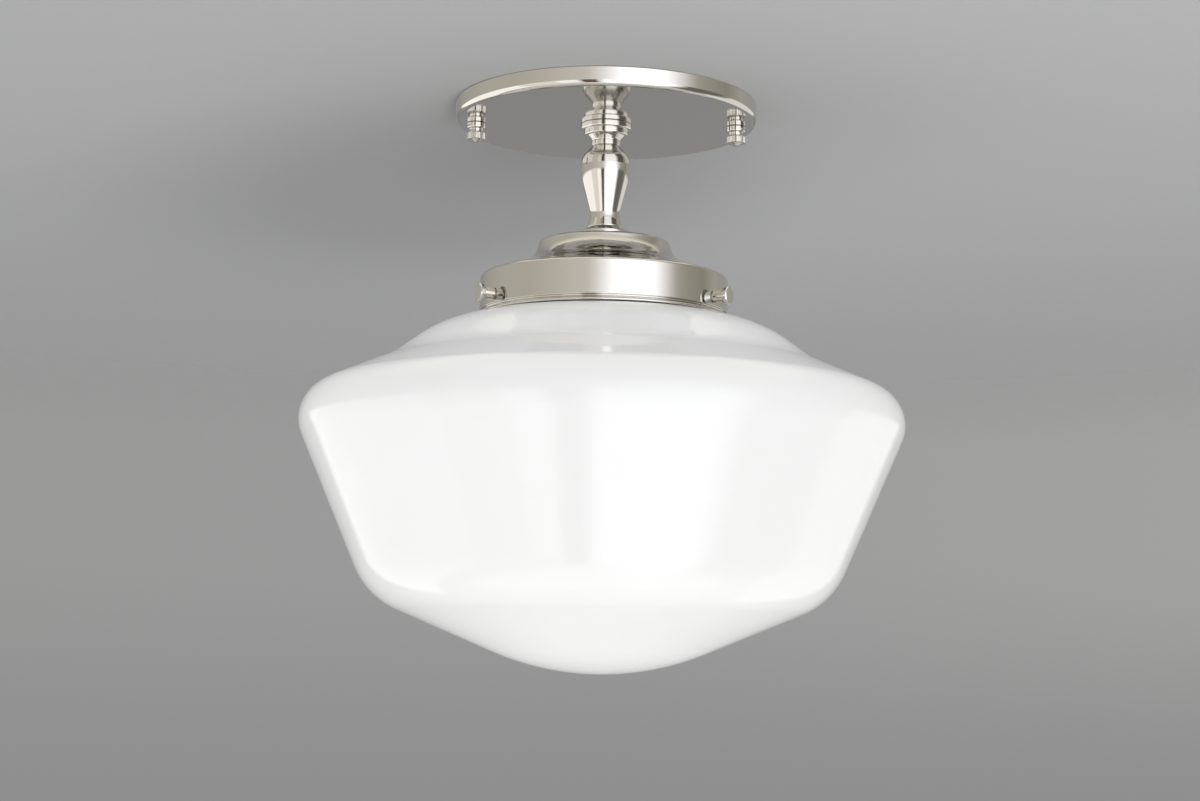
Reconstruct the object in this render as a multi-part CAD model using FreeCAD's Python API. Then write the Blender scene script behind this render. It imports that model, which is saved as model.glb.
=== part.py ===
import FreeCAD, Part
import math
import os

# A semi flush ceiling light. A shallow round canopy hides a crossbar on the ceiling,
# a turned vase stem hangs from it on a hollow threaded pipe, and a spun holder with
# three thumb screws carries an opal schoolhouse globe round one screw-base lamp.
# Millimetres. +Z is up, and the ceiling is the plane z = 0.

Vector = FreeCAD.Vector

# Fits between pieces
thread_clearance = 0.05     # radial, between a screw and its tapped hole
slip_clearance = 0.1        # radial, between a tube and what slides over it
hole_clearance = 0.35       # radial, round a screw that passes through sheet metal
seat_gap = 0.1              # under a piece that is screwed up against another

# Hexagons: the corner's radius for a width of 1 across the flats, and the part of the
# corner that the chamfer takes off
hexagon_corner = 1 / math.sqrt(3)
hexagon_chamfer_share = 0.6

# Crossbar, the steel strap on the junction box
bar_end_margin = 5.1        # from a stud's axis to the end of the bar
bar_width = 22.0
bar_thickness = 1.6
bar_corner_radius = 3.0
bar_wire_gap = 0.6          # round the pipe's nut, which comes up into the bar
slot_to_stud = 15.2         # from a box slot's middle to a stud's axis
slot_length = 19.0
slot_width = 4.8
ground_screw_x = 19.0
ground_screw_r = 2.4
ground_head_flats = 8.0
ground_head_height = 2.0
ground_flange_r = 5.0
ground_flange_height = 0.8

# Canopy and the two studs and knurled nuts that hold it
canopy_r = 63.5
canopy_depth = 7.5
canopy_wall = 1.0
canopy_edge_radius = 2.4
stud_inset = 8.6            # from the canopy's edge to a stud's axis
stud_r = 2.05
stud_grip = 5.5             # how far the stud reaches into the knurled nut
lock_nut_flats = 8.7
lock_nut_height = 2.6
nut_ring_r = 3.95
nut_ring_height = 2.3
nut_neck_wall = 0.75
nut_neck_height = 1.6
nut_knurl_r = 4.0
nut_knurl_height = 3.1
nut_tip_r = 2.9
nut_tip_height = 1.1
nut_bore_spare = 0.5
nut_seat_edge = 0.2         # rounds on the nut, from its seat down to its tip
nut_ring_round = 0.7
nut_neck_round = 0.5
nut_knurl_edge = 0.3
nut_tip_round = 0.4
knurl_count = 36
knurl_depth = 0.2
knurl_groove_share = 0.8    # of the pitch that a groove takes up

# Hollow threaded pipe through the stem, and its nuts
pipe_r = 5.0
pipe_bore_r = 3.4
pipe_end_proud = 1.4
pipe_nut_flats = 14.3
pipe_nut_height = 2.5
pipe_washer_r = 8.2
pipe_washer_height = 0.8
pipe_washer_split = 1.2

# Stem: collar, vase and base, threaded on the pipe like beads
collar_top_r = 10.4
collar_top_height = 2.5
collar_step_r = 9.1
collar_step_height = 2.3
collar_cone_r = 8.0
collar_cone_height = 2.4
collar_top_edge = 0.4
collar_top_round = 0.9
collar_step_round = 0.7
collar_inner_round = 0.15
collar_neck_height = 0.6
collar_neck_radius = 3.0
stem_neck_wall = 0.65       # metal left round the pipe where the stem is thinnest
vase_ring_height = 1.9
vase_ring_edge = 0.25
vase_groove_height = 0.4
vase_shoulder_r = 11.0
vase_shoulder_drop = 6.3
vase_shoulder_radius = 6.0
vase_waist_r = 9.9
vase_waist_drop = 15.9
vase_waist_radius = 30.0
vase_ankle_drop = 32.1
vase_ankle_radius = 7.0
vase_foot_r = 7.8
vase_foot_edge = 0.3
vase_height = 35.7
base_r = 13.6
base_slope_height = 4.0
base_height = 7.8
base_top_reach = 0.3        # past the vase's foot
base_top_edge = 0.3
base_shoulder_round = 1.3
base_foot_edge = 0.4

# Globe holder, spun from one sheet
holder_wall = 1.0
cap_r = 27.5
cap_edge_radius = 1.6
cove_r = 29.2
cove_drop = 8.3
cove_radius = 12.0
band_r = 51.8
band_top_drop = 15.7
band_edge_radius = 1.5
band_height = 14.7
lip_groove_depth = 0.6
lip_groove_height = 0.8
lip_groove_slope = 0.3
lip_groove_round = 0.3
lip_flare_round = 0.4
lip_reach = 2.1
lip_height = 2.9
lip_edge_height = 0.9
lip_edge_radius = 0.45
holder_washer_r = 12.0
holder_washer_height = 1.0
holder_nut_height = 4.0

# Thumb screws, 120 degrees apart
thumb_angles = {"left": 210.0, "right": 330.0, "back": 90.0}
thumb_drop = 26.7           # from the cap's top to the screw's axis
thumb_shank_r = 2.05
thumb_barrel_r = 2.5
thumb_barrel_length = 4.6
thumb_groove_r = 1.9
thumb_groove_length = 0.5
thumb_head_r = 3.75
thumb_head_height = 1.8
thumb_head_bevel = 0.45
thumb_tip_bevel = 0.5
thumb_barrel_edge = 0.2
thumb_barrel_round = 0.4
thumb_head_edge = 0.3
thumb_stand_off = 0.3       # barrel to band, and tip to glass

# Opal globe. Radii and drops of the hip, heel and crease are those of the sketch's
# corners before they are rounded. Drops count from the neck's foot.
glass_wall = 3.0
globe_lip_gap = 1.6         # between the glass lip and the holder's band
globe_lip_reach = 2.5
globe_lip_height = 4.0
globe_lip_radius = 1.3
globe_mouth_radius = 0.8
globe_neck_radius = 0.5     # where the lip meets the neck
globe_lip_to_screw = 0.5
globe_foot_gap = 0.4        # between the holder's lip and the glass below it
globe_foot_radius = 1.5
shoulder_r = 66.8
shoulder_drop = 1.0
shoulder_radius = 50.0
crease_r = 89.3
crease_drop = 18.3
crease_radius = 45.0
hip_r = 129.9
hip_drop = 35.7
hip_radius = 15.8
heel_r = 95.4
heel_drop = 116.0
heel_radius = 33.0
pole_drop = 146.1
pole_radius = 115.0
pole_angle = 22.5           # slope of the bottom cone, in degrees

# Lamp socket and its bracket
bracket_length = 34.0
bracket_width = 14.0
bracket_thickness = 1.5
bracket_hub_r = 7.0
bracket_hub_height = 4.0
bracket_screw_x = 13.0
bracket_screw_r = 1.5
bracket_screw_depth = 6.0
bracket_head_r = 2.7
bracket_head_height = 1.5
terminal_y = 11.0
terminal_screw_r = 1.7
terminal_screw_depth = 4.0
terminal_head_r = 3.2
terminal_head_height = 1.8
screw_slot_width = 0.8
screw_slot_depth = 0.8
socket_top_r = 17.0
socket_top_height = 10.0
socket_r = 19.5
socket_flare_height = 3.0
socket_height = 42.3
socket_floor = 16.3         # from the socket's top to the floor of its recess
socket_mouth_bevel = 1.5
socket_top_edge = 1.0
socket_flare_round = 2.0
socket_foot_round = 1.2
socket_mouth_edge = 0.3
shell_wall = 0.5
shell_length = 23.0
shell_rim_r = 9.5
shell_top_round = 0.6
contact_width = 6.0
contact_thickness = 0.5
contact_reach = 8.0
contact_spring = 1.6

# Lamp
lamp_cap_r = 13.05
lamp_cap_clearance = 0.3
lamp_cap_height = 22.5
lamp_cap_wall = 0.5
lamp_cap_shoulder = 1.5
lamp_cap_flange = 1.0
lamp_cap_flange_round = 0.5
lamp_cap_round = 0.8
lamp_insulator_r = 9.0
lamp_insulator_height = 1.4
lamp_insulator_round = 0.5
lamp_contact_r = 4.5
lamp_contact_height = 0.8
lamp_contact_round = 2.0
lamp_contact_gap = 0.3
lamp_glass_wall = 0.8
lamp_neck_gap = 0.2
lamp_neck_insert = 12.0
lamp_neck_flare = 40.0
lamp_bulb_r = 30.0
lamp_bulb_slope = 31.8      # of the flank that meets the ball, in degrees
lamp_length = 107.0

# Levels down the centre line, each from the piece above it
canopy_under = -canopy_depth
canopy_floor = canopy_under + canopy_wall
pipe_nut_top = canopy_floor + pipe_washer_height + pipe_nut_height
vase_top = canopy_under - collar_top_height - collar_step_height - collar_cone_height
base_top = vase_top - vase_height
cap_top = base_top - base_height
cap_ceiling = cap_top - holder_wall
holder_nut_top = cap_ceiling - holder_washer_height
bracket_top = holder_nut_top - holder_nut_height
bracket_plate_top = bracket_top - bracket_hub_height
socket_top = bracket_plate_top - bracket_thickness
socket_recess = socket_top - socket_floor
holder_foot = cap_top - band_top_drop - band_height - lip_height
thumb_z = cap_top - thumb_drop
lamp_top = socket_recess - contact_spring - lamp_contact_gap
lamp_cap_top = lamp_top - lamp_contact_height - lamp_insulator_height
lamp_rim = lamp_cap_top - lamp_cap_height

# Sizes that follow from what they fit over, into or round
stud_x = canopy_r - stud_inset
slot_centre_x = stud_x - slot_to_stud
bar_length = 2 * (stud_x + bar_end_margin)
stem_bore_r = pipe_r + slip_clearance
stem_neck_r = stem_bore_r + stem_neck_wall
tapped_pipe_r = pipe_r + thread_clearance
tapped_stud_r = stud_r + thread_clearance
band_inner_r = band_r - holder_wall
glass_lip_r = band_inner_r - globe_lip_gap
glass_neck_r = glass_lip_r - globe_lip_reach
shell_inner_r = lamp_cap_r + lamp_cap_clearance
shell_outer_r = shell_inner_r + shell_wall
bar_wire_hole_r = pipe_nut_flats * hexagon_corner + bar_wire_gap


def corner_reach(before, corner, after, radius):
    """Distance from a corner to where its round starts."""
    opening = (before - corner).getAngle(after - corner)
    return radius / math.tan(opening / 2) if radius else 0.0


def rounded_wire(corners):
    """Closed wire in the r-z plane through corners (r, z) or (r, z, radius)."""
    points = [Vector(corner[0], 0, corner[1]) for corner in corners]
    radii = [corner[2] if len(corner) == 3 else 0.0 for corner in corners]
    count = len(points)
    reach = []
    for i in range(count):
        after = points[(i + 1) % count]
        reach.append(corner_reach(points[i - 1], points[i], after, radii[i]))
    limit = [1.0] * count
    for i in range(count):
        j = (i + 1) % count
        asked = reach[i] + reach[j]
        length = (points[j] - points[i]).Length
        if asked > length:
            limit[i] = min(limit[i], length / asked)
            limit[j] = min(limit[j], length / asked)
    edges = []
    leave = []
    arrive = []
    for i in range(count):
        towards_last = (points[i - 1] - points[i]).normalize()
        towards_next = (points[(i + 1) % count] - points[i]).normalize()
        step = reach[i] * limit[i]
        start = points[i] + towards_last * step
        end = points[i] + towards_next * step
        arrive.append(start)
        leave.append(end)
        if step > 0:
            half = towards_last.getAngle(towards_next) / 2
            bisector = (towards_last + towards_next).normalize()
            to_middle = step / math.cos(half) - step * math.tan(half)
            middle = points[i] + bisector * to_middle
            edges.append(Part.Arc(start, middle, end).toShape())
    for i in range(count):
        j = (i + 1) % count
        if (arrive[j] - leave[i]).Length > 1e-5:
            edges.append(Part.makeLine(leave[i], arrive[j]))
    return Part.Wire(Part.__sortEdges__(edges))


def turned(corners):
    """Solid of revolution about the centre line."""
    face = Part.Face(rounded_wire(corners))
    return face.revolve(Vector(0, 0, 0), Vector(0, 0, 1), 360)


def inner_path(path, wall):
    """The path moved to its right by a wall, with every round kept concentric."""
    ways = []
    for start, end in zip(path, path[1:]):
        ways.append(Vector(end[0] - start[0], end[1] - start[1], 0).normalize())
    rights = [Vector(way.y, -way.x, 0) for way in ways]
    moved = []
    for i, (r, z, radius) in enumerate(path):
        before = rights[max(i - 1, 0)]
        after = rights[min(i, len(rights) - 1)]
        shift = (before + after) * (wall / (1 + before.dot(after)))
        left_turn = 0 < i < len(ways) and ways[i - 1].cross(ways[i]).z > 0
        inner_radius = radius + wall if left_turn else max(radius - wall, 0.0)
        moved.append((r + shift.x, z + shift.y, inner_radius if radius else 0.0))
    return moved


def cylinder(r, z_low, z_high, x=0.0, y=0.0):
    """Upright cylinder."""
    return Part.makeCylinder(r, z_high - z_low, Vector(x, y, z_low), Vector(0, 0, 1))


def ring(r_outer, r_inner, z_low, z_high):
    """Washer about the centre line."""
    return cylinder(r_outer, z_low, z_high).cut(cylinder(r_inner, z_low, z_high))


def hexagon(flats, z_low, z_high, bore_r=0.0):
    """Hexagon bar end with its corners chamfered, and a bore where it has one."""
    corner_r = flats * hexagon_corner
    points = []
    for i in range(7):
        angle = math.radians(60 * i)
        points.append(Vector(corner_r * math.cos(angle), corner_r * math.sin(angle), z_low))
    prism = Part.Face(Part.makePolygon(points)).extrude(Vector(0, 0, z_high - z_low))
    chamfer = (corner_r - flats / 2) * hexagon_chamfer_share
    barrel = turned([(0, z_low), (flats / 2, z_low), (corner_r, z_low + chamfer),
                     (corner_r, z_high - chamfer), (flats / 2, z_high), (0, z_high)])
    nut = prism.common(barrel)
    if bore_r:
        nut = nut.cut(cylinder(bore_r, z_low, z_high))
    return nut


def moved(shape, x=0.0, y=0.0):
    """A copy of a shape, moved sideways."""
    copy = shape.copy()
    copy.translate(Vector(x, y, 0))
    return copy


def slotted_head(r, z_low, z_high):
    """Cheese head with a driver slot in its upper face, about the centre line."""
    head = cylinder(r, z_low, z_high)
    slot = Part.makeBox(3 * r, screw_slot_width, screw_slot_depth,
                        Vector(-1.5 * r, -screw_slot_width / 2, z_high - screw_slot_depth))
    return head.cut(slot)


def make_crossbar():
    """Steel strap with two box slots, two tapped stud holes and a wire hole."""
    half_length = bar_length / 2
    half_width = bar_width / 2
    bar = Part.makeBox(bar_length, bar_width, bar_thickness,
                       Vector(-half_length, -half_width, -bar_thickness))
    upright = [edge for edge in bar.Edges if abs(edge.tangentAt(0).z) > 0.5]
    bar = bar.makeFillet(bar_corner_radius, upright)
    bar = bar.cut(cylinder(bar_wire_hole_r, -bar_thickness, 0))
    ground_hole_r = ground_screw_r + thread_clearance
    bar = bar.cut(cylinder(ground_hole_r, -bar_thickness, 0, ground_screw_x))
    for side in (-1, 1):
        bar = bar.cut(cylinder(tapped_stud_r, -bar_thickness, 0, side * stud_x))
        bar = bar.cut(make_slot(side * slot_centre_x))
    return bar


def make_slot(x):
    """Cutter for one round-ended slot along X."""
    r = slot_width / 2
    straight = slot_length - slot_width
    slot = Part.makeBox(straight, slot_width, bar_thickness,
                        Vector(x - straight / 2, -r, -bar_thickness))
    for side in (-1, 1):
        slot = slot.fuse(cylinder(r, -bar_thickness, 0, x + side * straight / 2))
    return slot


def make_ground_screw():
    """Hexagon washer-head screw, driven up into the crossbar from below."""
    flange_low = -bar_thickness - ground_flange_height
    head_low = flange_low - ground_head_height
    head = hexagon(ground_head_flats, head_low, flange_low)
    flange = cylinder(ground_flange_r, flange_low, -bar_thickness)
    slot = Part.makeBox(2 * ground_flange_r, screw_slot_width, screw_slot_depth,
                        Vector(-ground_flange_r, -screw_slot_width / 2, head_low))
    shank = cylinder(ground_screw_r, -bar_thickness, 0)
    screw = shank.fuse([flange, head]).cut(slot).removeSplitter()
    return moved(screw, ground_screw_x)


def make_canopy():
    """Shallow spun pan with a rounded edge, a centre hole and two stud holes."""
    rim_inner_r = canopy_r - canopy_wall
    inner_radius = canopy_edge_radius - canopy_wall
    pan = turned([(canopy_r, 0), (canopy_r, canopy_under, canopy_edge_radius),
                  (stem_bore_r, canopy_under), (stem_bore_r, canopy_floor),
                  (rim_inner_r, canopy_floor, max(inner_radius, 0.0)), (rim_inner_r, 0)])
    for side in (-1, 1):
        hole_r = stud_r + hole_clearance
        pan = pan.cut(cylinder(hole_r, canopy_under, canopy_floor, side * stud_x))
    return pan


def make_stud(x):
    """Headless stud from the crossbar's face down into the knurled nut."""
    low = canopy_under - seat_gap - stud_grip
    bevel = stud_r / 4
    stud = turned([(0, low), (stud_r - bevel, low), (stud_r, low + bevel),
                   (stud_r, 0), (0, 0)])
    return moved(stud, x)


def make_lock_nut(x):
    """Hexagon nut that locks a stud under the crossbar."""
    low = -bar_thickness - lock_nut_height
    return moved(hexagon(lock_nut_flats, low, -bar_thickness, tapped_stud_r), x)


def make_canopy_nut(x):
    """Knurled nut: seat ring, neck, knurled disc and pointed tip, with a blind bore."""
    top = canopy_under - seat_gap
    neck_r = tapped_stud_r + nut_neck_wall
    ring_low = top - nut_ring_height
    knurl_top = ring_low - nut_neck_height
    knurl_low = knurl_top - nut_knurl_height
    tip = knurl_low - nut_tip_height
    bore_end = top - stud_grip - nut_bore_spare
    nut = turned([(0, bore_end), (tapped_stud_r, bore_end), (tapped_stud_r, top),
                  (nut_ring_r, top, nut_seat_edge), (nut_ring_r, ring_low, nut_ring_round),
                  (neck_r, ring_low, nut_neck_round), (neck_r, knurl_top, nut_neck_round),
                  (nut_knurl_r, knurl_top, nut_knurl_edge),
                  (nut_knurl_r, knurl_low, nut_knurl_edge),
                  (nut_tip_r, knurl_low, nut_seat_edge),
                  (nut_tip_r / 3, tip, nut_tip_round), (0, tip)])
    flutes = [make_flute(i, knurl_low, knurl_top) for i in range(knurl_count)]
    return moved(nut.cut(flutes), x)


def make_flute(index, z_low, z_high):
    """Cutter for one V groove of the knurl."""
    half_angle = math.pi / knurl_count * knurl_groove_share
    outside = nut_knurl_r + knurl_depth
    inside = nut_knurl_r - knurl_depth
    points = [Vector(inside, 0, z_low),
              Vector(outside, outside * math.tan(half_angle), z_low),
              Vector(outside, -outside * math.tan(half_angle), z_low),
              Vector(inside, 0, z_low)]
    flute = Part.Face(Part.makePolygon(points)).extrude(Vector(0, 0, z_high - z_low))
    flute.rotate(Vector(0, 0, 0), Vector(0, 0, 1), 360.0 / knurl_count * index)
    return flute


def make_pipe():
    """Hollow threaded pipe from above its top nut to the socket bracket."""
    return ring(pipe_r, pipe_bore_r, socket_top, pipe_nut_top + pipe_end_proud)


def make_pipe_washer():
    """Split spring washer on the canopy's floor."""
    top = canopy_floor + pipe_washer_height
    washer = ring(pipe_washer_r, stem_bore_r, canopy_floor, top)
    gap = Part.makeBox(pipe_washer_r, pipe_washer_split, pipe_washer_height,
                       Vector(0, -pipe_washer_split / 2, canopy_floor))
    return washer.cut(gap)


def make_pipe_nut():
    """Thin hexagon nut that pulls the stem up against the canopy."""
    low = pipe_nut_top - pipe_nut_height
    return hexagon(pipe_nut_flats, low, pipe_nut_top, tapped_pipe_r)


def make_collar():
    """Stepped collar under the canopy, narrowing to the stem's neck."""
    step_top = canopy_under - collar_top_height
    cone_top = step_top - collar_step_height
    neck_top = vase_top + collar_neck_height
    return turned([(stem_bore_r, canopy_under), (collar_top_r, canopy_under, collar_top_edge),
                   (collar_top_r, step_top, collar_top_round),
                   (collar_step_r, step_top, collar_inner_round),
                   (collar_step_r, cone_top, collar_step_round),
                   (collar_cone_r, cone_top, collar_inner_round),
                   (stem_neck_r, neck_top, collar_neck_radius), (stem_neck_r, vase_top),
                   (stem_bore_r, vase_top)])


def make_vase():
    """Turned vase with a small ring at its neck and a flared foot."""
    ring_low = vase_top - vase_ring_height
    return turned([(stem_bore_r, vase_top), (stem_neck_r, vase_top, vase_ring_edge),
                   (stem_neck_r, ring_low, vase_ring_edge),
                   (stem_neck_r - stem_neck_wall / 2, ring_low - vase_groove_height / 2),
                   (stem_neck_r, ring_low - vase_groove_height),
                   (vase_shoulder_r, vase_top - vase_shoulder_drop, vase_shoulder_radius),
                   (vase_waist_r, vase_top - vase_waist_drop, vase_waist_radius),
                   (stem_neck_r - stem_neck_wall / 4, vase_top - vase_ankle_drop,
                    vase_ankle_radius),
                   (vase_foot_r, base_top, vase_foot_edge), (stem_bore_r, base_top)])


def make_base():
    """Flared base ring between the vase and the holder."""
    edge_top = base_top - base_slope_height
    return turned([(stem_bore_r, base_top),
                   (vase_foot_r + base_top_reach, base_top, base_top_edge),
                   (base_r, edge_top, base_shoulder_round), (base_r, cap_top, base_foot_edge),
                   (stem_bore_r, cap_top)])


def make_holder():
    """Spun holder: flat cap, cove, straight band, and a grooved and flared lip."""
    cove = cap_top - cove_drop
    band_top = cap_top - band_top_drop
    band_low = band_top - band_height
    groove_low = band_low - lip_groove_height
    path = [(stem_bore_r, cap_top, 0.0), (cap_r, cap_top, cap_edge_radius),
            (cove_r, cove, cove_radius), (band_r, band_top, band_edge_radius),
            (band_r, holder_foot, 0.0)]
    groove_r = band_r - lip_groove_depth
    lip = [(band_r, band_low, lip_groove_round),
           (groove_r, band_low - lip_groove_slope, lip_groove_round),
           (groove_r, groove_low, lip_flare_round),
           (band_r + lip_reach, holder_foot + lip_edge_height, lip_edge_radius),
           (band_r + lip_reach, holder_foot, lip_edge_radius)]
    holder = turned(path[:-1] + lip + inner_path(path, holder_wall)[::-1])
    hole_r = thumb_shank_r + thread_clearance
    for angle in thumb_angles.values():
        hole = Part.makeCylinder(hole_r, 3 * holder_wall,
                                 Vector(band_inner_r - holder_wall, 0, thumb_z),
                                 Vector(1, 0, 0))
        hole.rotate(Vector(0, 0, 0), Vector(0, 0, 1), angle)
        holder = holder.cut(hole)
    return holder


def make_holder_washer():
    """Flat washer that spreads the holder's load under its cap."""
    return ring(holder_washer_r, stem_bore_r, holder_nut_top, cap_ceiling)


def make_holder_nut():
    """Hexagon nut that clamps the holder and the stem together."""
    return hexagon(pipe_nut_flats, bracket_top, holder_nut_top, tapped_pipe_r)


def make_thumb_screw(angle):
    """Thumb screw on the X axis, turned to its place round the band."""
    tip = glass_neck_r + thumb_stand_off
    barrel = band_r + thumb_stand_off
    groove = barrel + thumb_barrel_length
    head = groove + thumb_groove_length
    face = head + thumb_head_height
    screw = turned([(0, tip), (thumb_shank_r - thumb_tip_bevel, tip),
                    (thumb_shank_r, tip + thumb_tip_bevel),
                    (thumb_shank_r, barrel), (thumb_barrel_r, barrel, thumb_barrel_edge),
                    (thumb_barrel_r, groove, thumb_barrel_round), (thumb_groove_r, groove),
                    (thumb_groove_r, head), (thumb_head_r, head, thumb_head_edge),
                    (thumb_head_r, face - thumb_head_bevel),
                    (thumb_head_r - thumb_head_bevel, face), (0, face)])
    screw.rotate(Vector(0, 0, 0), Vector(0, 1, 0), 90)
    screw.translate(Vector(0, 0, thumb_z))
    screw.rotate(Vector(0, 0, 0), Vector(0, 0, 1), angle)
    return screw


def make_globe():
    """Blown opal globe: lipped neck, creased shoulder, tapered body, coned bottom."""
    foot = holder_foot - globe_foot_gap
    pole = foot - pole_drop
    lip_low = thumb_z + thumb_shank_r + globe_lip_to_screw
    lip_top = lip_low + globe_lip_height
    pole_reach = pole_radius * math.tan(math.radians(pole_angle) / 2)
    path = [(glass_neck_r, lip_low, 0.0), (glass_neck_r, foot, globe_foot_radius),
            (shoulder_r, foot - shoulder_drop, shoulder_radius),
            (crease_r, foot - crease_drop, crease_radius),
            (hip_r, foot - hip_drop, hip_radius),
            (heel_r, foot - heel_drop, heel_radius),
            (pole_reach, pole, pole_radius), (0.0, pole, 0.0)]
    inner = inner_path(path, glass_wall)
    lip = [(glass_neck_r - glass_wall, lip_top, globe_mouth_radius),
           (glass_lip_r, lip_top, globe_lip_radius),
           (glass_lip_r, lip_low, globe_lip_radius),
           (glass_neck_r, lip_low, globe_neck_radius)]
    return turned(lip + path[1:] + inner[:0:-1])


def make_bracket():
    """Oval strap with a tapped hub, screwed to the pipe and to the socket."""
    half_width = bracket_width / 2
    straight = bracket_length - bracket_width
    plate = Part.makeBox(straight, bracket_width, bracket_thickness,
                         Vector(-straight / 2, -half_width, socket_top))
    for side in (-1, 1):
        end = cylinder(half_width, socket_top, bracket_plate_top, side * straight / 2)
        plate = plate.fuse(end)
    plate = plate.fuse(cylinder(bracket_hub_r, socket_top, bracket_top))
    plate = plate.cut(cylinder(tapped_pipe_r, socket_top, bracket_top))
    for side in (-1, 1):
        hole_r = bracket_screw_r + slip_clearance
        hole = cylinder(hole_r, socket_top, bracket_plate_top, side * bracket_screw_x)
        plate = plate.cut(hole)
    return plate.removeSplitter()


def make_bracket_screws():
    """Two screws that hold the bracket down on the socket."""
    head_top = bracket_plate_top + bracket_head_height
    head = slotted_head(bracket_head_r, bracket_plate_top, head_top)
    low = socket_top - bracket_screw_depth
    screw = head.fuse(cylinder(bracket_screw_r, low, bracket_plate_top))
    return Part.makeCompound([moved(screw, side * bracket_screw_x) for side in (-1, 1)])


def make_socket():
    """Glazed porcelain lamp socket with a recess for the screw shell."""
    flare = socket_top - socket_top_height
    low = socket_top - socket_height
    recess_r = shell_outer_r + thread_clearance
    mouth_r = recess_r + socket_mouth_bevel
    flare_low = flare - socket_flare_height
    body = turned([(0, socket_top), (socket_top_r, socket_top, socket_top_edge),
                   (socket_top_r, flare, socket_flare_round),
                   (socket_r, flare_low, socket_flare_round),
                   (socket_r, low, socket_foot_round), (mouth_r, low, socket_mouth_edge),
                   (recess_r, low + socket_mouth_bevel),
                   (recess_r, socket_recess), (0, socket_recess)])
    for side in (-1, 1):
        r = bracket_screw_r + thread_clearance
        depth = socket_top - bracket_screw_depth
        body = body.cut(cylinder(r, depth, socket_top, side * bracket_screw_x))
        r = terminal_screw_r + thread_clearance
        depth = socket_top - terminal_screw_depth
        body = body.cut(cylinder(r, depth, socket_top, 0, side * terminal_y))
    return body


def make_terminal_screws():
    """Two wire terminal screws on the socket's top."""
    head = slotted_head(terminal_head_r, socket_top, socket_top + terminal_head_height)
    low = socket_top - terminal_screw_depth
    screw = head.fuse(cylinder(terminal_screw_r, low, socket_top))
    return Part.makeCompound([moved(screw, 0, side * terminal_y) for side in (-1, 1)])


def make_shell():
    """Brass screw shell that lines the socket, with an inward rim at its top."""
    low = socket_recess - shell_length
    return turned([(shell_rim_r, socket_recess),
                   (shell_outer_r, socket_recess, shell_top_round),
                   (shell_outer_r, low), (shell_inner_r, low),
                   (shell_inner_r, socket_recess - shell_wall),
                   (shell_rim_r, socket_recess - shell_wall)])


def make_contact():
    """Bent spring strip in the socket's floor that the lamp's tip presses on."""
    t = contact_thickness
    z = socket_recess
    low = z - contact_spring
    outline = [(-contact_reach, z), (-contact_reach, z - t), (-contact_reach / 2, z - t),
               (-contact_reach / 4, low), (contact_reach / 3, low),
               (contact_reach / 2, low + t), (contact_reach / 3, low + t),
               (-contact_reach / 4 + t / 2, low + t), (-contact_reach / 2 + t / 2, z)]
    points = [Vector(x, -contact_width / 2, height) for x, height in outline]
    strip = Part.Face(Part.makePolygon(points + points[:1]))
    return strip.extrude(Vector(0, contact_width, 0))


def make_lamp_cap():
    """Screw base of the lamp: a thin cup, open below, with a shouldered top."""
    shoulder = lamp_cap_top - lamp_cap_shoulder
    path = [(lamp_insulator_r, lamp_cap_top, 0.0),
            (lamp_insulator_r + lamp_cap_flange, lamp_cap_top, lamp_cap_flange_round),
            (lamp_cap_r, shoulder, lamp_cap_round), (lamp_cap_r, lamp_rim, 0.0)]
    return turned(path + inner_path(path, lamp_cap_wall)[::-1])


def make_lamp_insulator():
    """Dark glass button between the lamp's cap and its centre contact."""
    top = lamp_top - lamp_contact_height
    low = lamp_cap_top - lamp_cap_wall
    return turned([(0, low), (lamp_insulator_r, low), (lamp_insulator_r, lamp_cap_top),
                   (lamp_contact_r, top, lamp_insulator_round), (0, top)])


def make_lamp_contact():
    """Centre contact, a low solder dome."""
    low = lamp_top - lamp_contact_height
    return turned([(0, low), (lamp_contact_r, low),
                   (lamp_contact_r / 2, lamp_top, lamp_contact_round), (0, lamp_top)])


def make_lamp_glass():
    """Frosted envelope: a neck that flares into a ball, open inside the cap."""
    neck_r = lamp_cap_r - lamp_cap_wall - lamp_neck_gap
    neck_top = lamp_rim + lamp_neck_insert
    pole = lamp_top - lamp_length
    slope = math.radians(lamp_bulb_slope)
    flank = pole + lamp_bulb_r * (1 + math.tan(slope / 2))
    opening = flank + (lamp_bulb_r - neck_r) / math.tan(slope)
    path = [(neck_r, neck_top, 0.0), (neck_r, opening, lamp_neck_flare),
            (lamp_bulb_r, flank, lamp_bulb_r), (lamp_bulb_r, pole, lamp_bulb_r),
            (0.0, pole, 0.0)]
    return turned(path + inner_path(path, lamp_glass_wall)[::-1])


nodes = {
    "crossbar": make_crossbar(),
    "ground_screw": make_ground_screw(),
    "canopy": make_canopy(),
    "stem_pipe": make_pipe(),
    "pipe_lock_washer": make_pipe_washer(),
    "pipe_top_nut": make_pipe_nut(),
    "stem_collar": make_collar(),
    "stem_vase": make_vase(),
    "stem_base": make_base(),
    "globe_holder": make_holder(),
    "holder_washer": make_holder_washer(),
    "holder_nut": make_holder_nut(),
    "globe": make_globe(),
    "socket_bracket": make_bracket(),
    "bracket_screws": make_bracket_screws(),
    "socket_body": make_socket(),
    "terminal_screws": make_terminal_screws(),
    "screw_shell": make_shell(),
    "centre_contact": make_contact(),
    "lamp_cap": make_lamp_cap(),
    "lamp_insulator": make_lamp_insulator(),
    "lamp_contact": make_lamp_contact(),
    "lamp_glass": make_lamp_glass(),
}
for name, side in (("left", -1), ("right", 1)):
    nodes["canopy_stud_" + name] = make_stud(side * stud_x)
    nodes["stud_lock_nut_" + name] = make_lock_nut(side * stud_x)
    nodes["canopy_nut_" + name] = make_canopy_nut(side * stud_x)
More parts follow.
